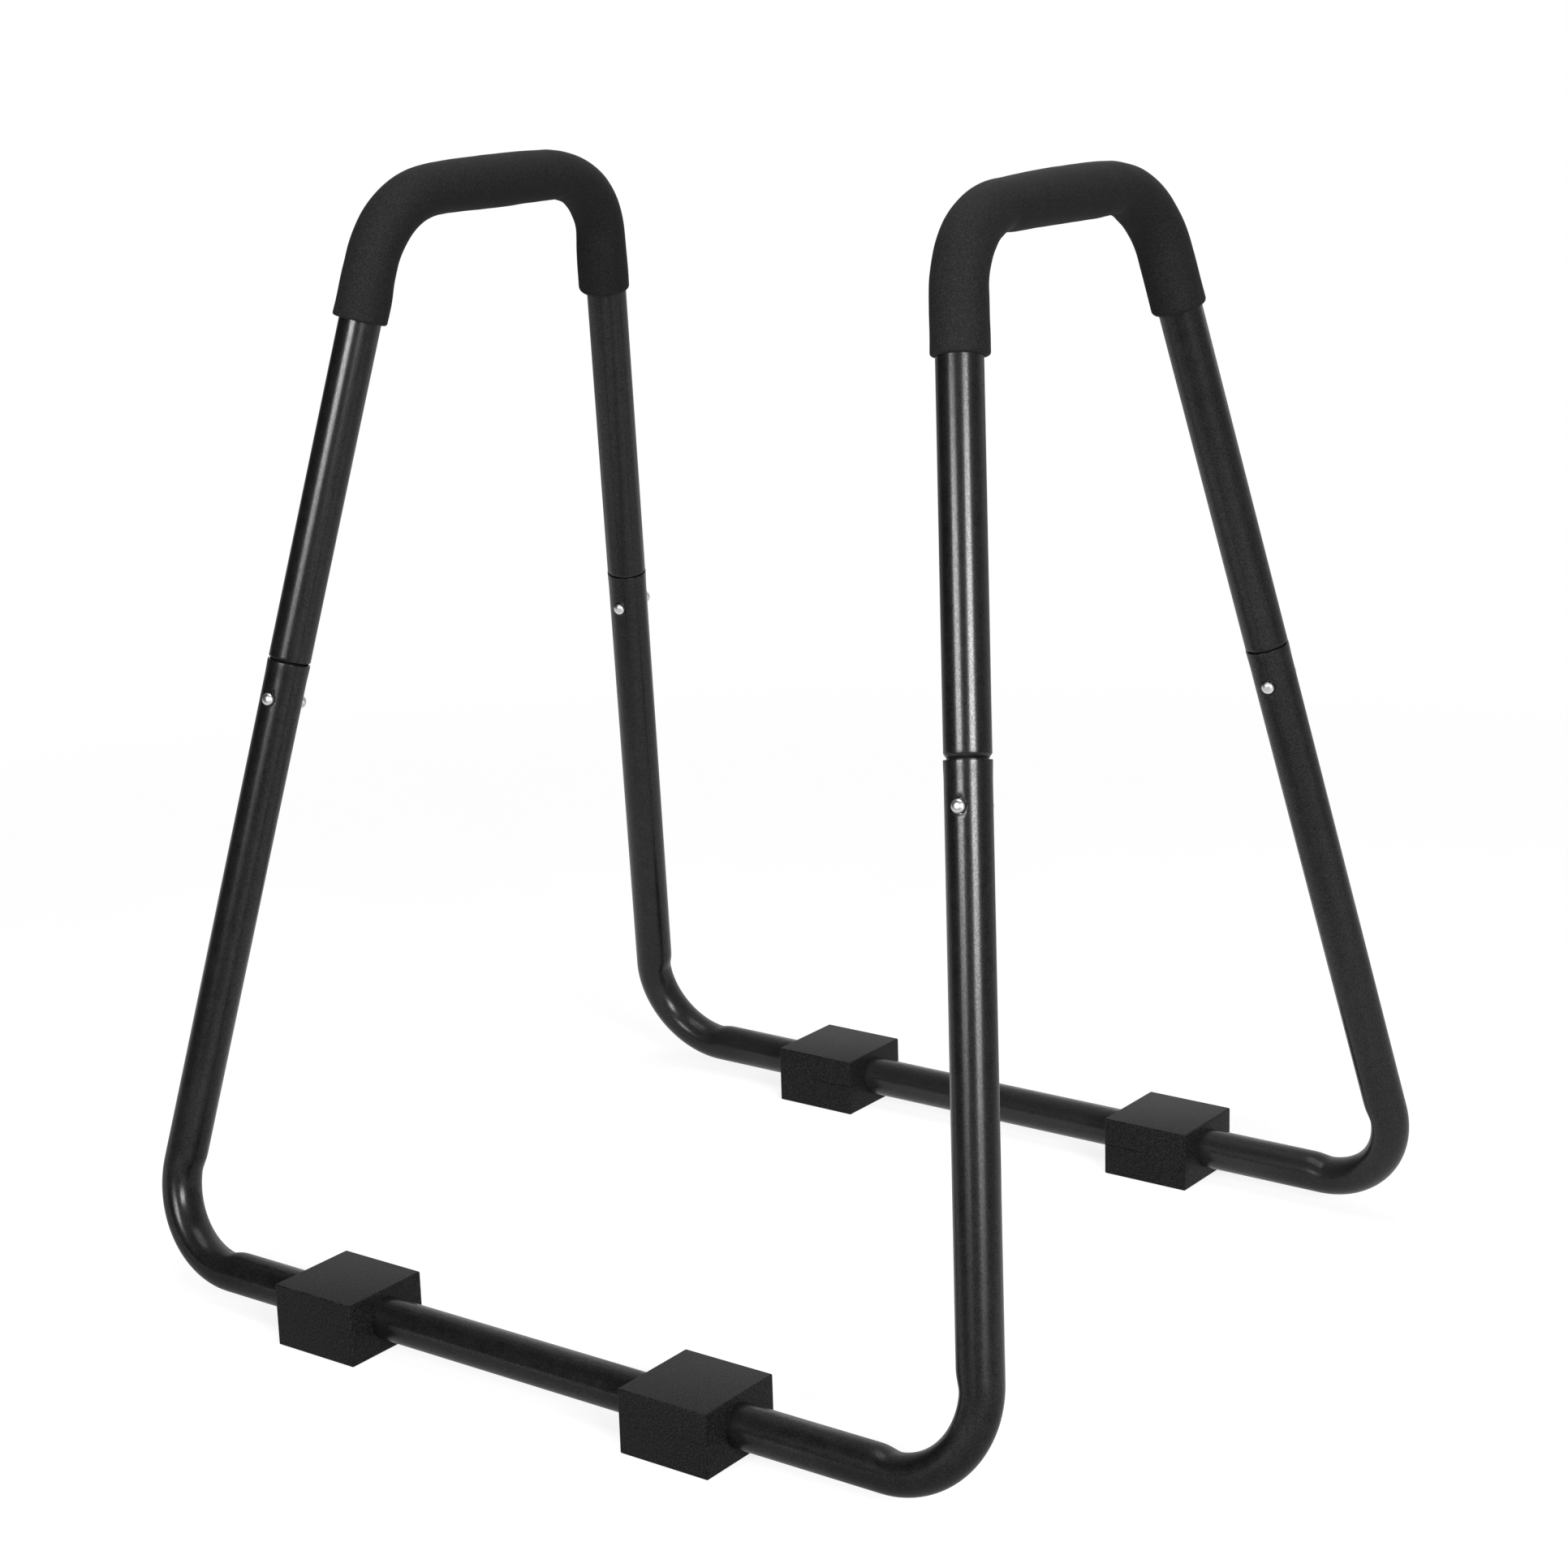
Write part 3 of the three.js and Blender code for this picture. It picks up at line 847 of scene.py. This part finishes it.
def button_steel():
    """Polished steel with faint scratches."""
    dull = (0.86, 0.87, 0.88, 1)
    bright = (0.93, 0.93, 0.94, 1)
    finish, place = new_finish("button_steel")
    scratch = finish.grain(finish.stretched(place, (1, 1, 9)), scale=900)
    return finish.surface(
        Base_Color=finish.mix(finish.grain(place, scale=400), dull, bright),
        Metallic=1.0,
        Roughness=0.27 + 0.1 * scratch,
        Normal=finish.bump(scratch, 0.000004),
    )


def spring_steel():
    """Tempered grey strip with a grain along its length."""
    dull = (0.22, 0.23, 0.25, 1)
    bright = (0.36, 0.37, 0.39, 1)
    finish, place = new_finish("spring_steel")
    brush = finish.grain(finish.stretched(place, (6, 6, 1)), scale=500, detail=3)
    return finish.surface(
        Base_Color=finish.mix(brush, dull, bright),
        Metallic=1.0,
        Roughness=0.3 + 0.15 * brush,
        Normal=finish.bump(brush, 0.00001),
    )


FINISHES = {
    "powder_coat": powder_coat(),
    "grip_foam": grip_foam(),
    "foot_foam": foot_foam(),
    "button_steel": button_steel(),
    "spring_steel": spring_steel(),
}


def dress(piece, slot, *nodes):
    """Gives a piece its finish and hides the frame nodes that it stands for."""
    piece.data.materials.clear()
    piece.data.materials.append(FINISHES[slot])
    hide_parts(*nodes)


def build_tubes():
    for row in ("front", "rear"):
        piece = base_tube(f"{row}_base", LEGS[f"{row}_left"], LEGS[f"{row}_right"])
        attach(piece, "frame")
        dress(piece, "powder_coat", f"{row}_base_tube")
    for hand in ("left", "right"):
        piece = handle_tube(f"{hand}_handle", LEGS[f"front_{hand}"], LEGS[f"rear_{hand}"])
        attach(piece, "frame")
        dress(piece, "powder_coat", f"{hand}_handle_tube")


def build_grips():
    for hand, seed in (("left", 3.0), ("right", 7.0)):
        legs = LEGS[f"front_{hand}"], LEGS[f"rear_{hand}"]
        piece = grip_sleeve(f"{hand}_grip", *legs, GRIP_LIES[hand], Vector((seed, seed, seed)))
        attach(piece, "frame")
        dress(piece, "grip_foam", f"{hand}_foam_grip")


def build_leg_fittings():
    for name, leg in LEGS.items():
        foot = foot_block(f"{name}_foot_foam", leg)
        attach(foot, f"{name}_foot")
        dress(foot, "foot_foam", f"{name}_foot_block")
        for side, way in button_ways(leg).items():
            body = f"{name}_{side}_button"
            button = snap_button(f"{body}_dome", leg, way)
            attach(button, body)
            dress(button, "button_steel", f"{name}_snap_button_{side}")
            arm = spring_arm(f"{name}_{side}_spring_arm", leg, side)
            dress(arm, "spring_steel", f"{name}_snap_spring")
            bend = button_centre(leg, SPRING_FOLD), button_centre(leg, SPRING_PAD)
            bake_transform(arm)


def backdrop_share(finish, reflection_glow):
    """Whether a ray is the camera's, and how much of the white backdrop it sees.

    The camera sees all of it, and reflections and glass see it as bright as the given reflection glow; on the
    floor that glow is painted light and shade.
    """
    camera_ray = finish.node("ShaderNodeLightPath", output="Is Camera Ray")
    glossy_ray = finish.node("ShaderNodeLightPath", output="Is Glossy Ray")
    transmission_ray = finish.node("ShaderNodeLightPath", output="Is Transmission Ray")
    return camera_ray, camera_ray + (glossy_ray + transmission_ray) * reflection_glow


def floor():
    """A wide pale floor that turns white in the distance and keeps the stand's shadow, and that glows in
    reflections with painted light and shade.
    """
    seen_grey = (0.28, 0.28, 0.28, 1)
    hidden_grey = (0.03, 0.03, 0.03, 1)
    glow_white = (FLOOR_GLOW, FLOOR_GLOW, FLOOR_GLOW, 1)
    ground = bmesh.new()
    bmesh.ops.create_grid(ground, x_segments=1, y_segments=1, size=FLOOR_SIZE)
    piece = finished("floor", ground)
    finish, place = new_finish("pale_floor")
    away = finish.node("ShaderNodeVectorMath", {"operation": "LENGTH"}, {0: place}, output="Value")
    reach = away * (1 / FLOOR_REACH)
    # Two metres to the front of the stand is 0, and two metres to its rear is 1.
    rearward = finish.axis(place, "Y") * 0.25 + 0.5
    # Painted light and shade: how brightly the floor glows in reflections, in bands along y, with a painted
    # shadow just in front of the stand's front tube, and fading in the distance.
    reflection_glow = finish.ramp(
        rearward, (0.12, 0.08), (0.25, 0.5), (0.32, 0.95), (0.37, 0.85), (0.405, 0.45), (0.45, 0.6),
        (0.5, 0.9), (0.7, 0.7), (0.84, 0.45), (1.0, 0.9)
    )
    reflection_glow = reflection_glow * finish.ramp(reach, (0.7, 1.0), (1.0, 0.5))
    camera_ray, backdrop = backdrop_share(finish, reflection_glow)
    near = finish.shader(
        "ShaderNodeBsdfPrincipled",
        Base_Color=finish.mix(camera_ray, hidden_grey, seen_grey),
        Roughness=0.9,
        Emission_Color=finish.mix(backdrop, BLACK, glow_white),
        Emission_Strength=1,
    )
    far = finish.shader("ShaderNodeEmission", Color=WHITE, Strength=1)
    distant = finish.ramp(reach, (0.22, 0.0), (0.7, 1.0)) * camera_ray
    shader = finish.node("ShaderNodeMixShader", inputs={0: distant, 1: near, 2: far})
    finish.node("ShaderNodeOutputMaterial", inputs={"Surface": shader})
    piece.data.materials.append(finish.owner)


def studio_world():
    """A soft light high behind the stand in a dim room, and a white backdrop."""
    world = bpy.data.worlds.new("studio")
    bpy.context.scene.world = world
    finish = Finish(world)
    way = finish.node("ShaderNodeTexCoord")
    high = finish.along(way, (-0.3, 0.6, 0.74))
    rear = finish.along(way, (-0.2, 0.98, 0))
    right = finish.axis(way, "X")
    sky = finish.ramp(high, (0.5, 0.0), (0.7, 0.06), (0.87, 0.26), (0.95, 0.36), (1.0, 0.42))
    sky = sky + finish.ramp(right, (0.0, 0.01), (0.1, 0.1), (0.4, 0.2), (0.8, 0.2))
    wall = finish.ramp(rear, (0.3, 0.0), (0.75, 0.3), (0.9, 0.8))
    camera_ray, backdrop = backdrop_share(finish, wall)
    strength = backdrop + (1 - camera_ray) * sky
    shader = finish.shader("ShaderNodeBackground", Color=WHITE, Strength=strength)
    finish.node("ShaderNodeOutputWorld", inputs={"Surface": shader})


def soft_box(name, place, width, height, level, way):
    """A rectangular lamp that looks along a direction. level is its brightness, with 1 as white."""
    data = bpy.data.lights.new(name, "AREA")
    data.shape = "RECTANGLE"
    data.size = width
    data.size_y = height
    data.energy = level * math.pi * width * height
    lamp = bpy.data.objects.new(name, data)
    bpy.context.scene.collection.objects.link(lamp)
    lamp.matrix_world = facing(Vector(way), place, "-Z")


# Each soft box stands at an x and y and looks at the stand. It is a stack of bands that fade towards
# the floor, as (lowest, highest, brightness), in front of a dim surround, a wider and slightly farther
# panel.
SOFT_BOXES = {
    "left": {
        "place": (-0.014, -2.63),
        "width": 1.07,
        "bands": (
            (1.40, 1.60, 12), (1.00, 1.40, 19), (0.85, 1.00, 9), (0.65, 0.85, 5.2), (0.48, 0.65, 2.2),
            (0.30, 0.48, 0.5),
        ),
        "surround": (0.85, 1.55, 1.5),
    },
    "right": {
        "place": (3.07, -1.83),
        "width": 1.4,
        "bands": (
            (1.80, 2.10, 18.5), (1.25, 1.80, 27), (0.90, 1.25, 13), (0.60, 0.90, 3), (0.40, 0.60, 0.4),
        ),
        "surround": (0.85, 1.75, 1.6),
    },
}
# A surround's width and distance, as multiples of its soft box's.
SURROUND_WIDTH = 1.7
SURROUND_SETBACK = 1.02
# The lamp over the stand, at the same scale of brightness.
TOP_LAMP_HEIGHT = 2.6
TOP_LAMP_SIZE = 1.4
TOP_LAMP_LEVEL = 3.3


def lights():
    for name, box in SOFT_BOXES.items():
        x, y = box["place"]
        for i, (low, high, level) in enumerate(box["bands"]):
            place = (x, y, (low + high) / 2)
            soft_box(f"{name}_lamp_{i}", place, box["width"], high - low, level, (-x, -y, 0))
        low, high, level = box["surround"]
        place = (x * SURROUND_SETBACK, y * SURROUND_SETBACK, (low + high) / 2)
        wide = box["width"] * SURROUND_WIDTH
        soft_box(f"{name}_surround", place, wide, high - low, level, (-x, -y, 0))
    soft_box("top_lamp", (0, 0, TOP_LAMP_HEIGHT), TOP_LAMP_SIZE, TOP_LAMP_SIZE, TOP_LAMP_LEVEL, (0, 0, -1))


def camera():
    data = bpy.data.cameras.new("camera")
    data.sensor_fit = "HORIZONTAL"
    data.sensor_width = CAMERA_SENSOR
    data.lens = CAMERA_LENS
    view = bpy.data.objects.new("camera", data)
    bpy.context.scene.collection.objects.link(view)
    heading = Matrix.Rotation(-CAMERA_YAW, 4, "Z")
    tilt = Matrix.Rotation(math.pi / 2 - CAMERA_PITCH, 4, "X")
    roll = Matrix.Rotation(CAMERA_ROLL, 4, "Z")
    view.matrix_world = Matrix.Translation(CAMERA_PLACE) @ heading @ tilt @ roll
    bpy.context.scene.camera = view


bpy.context.scene.view_settings.view_transform = "Standard"
camera()
studio_world()
lights()
floor()
build_tubes()
build_grips()
build_leg_fittings()
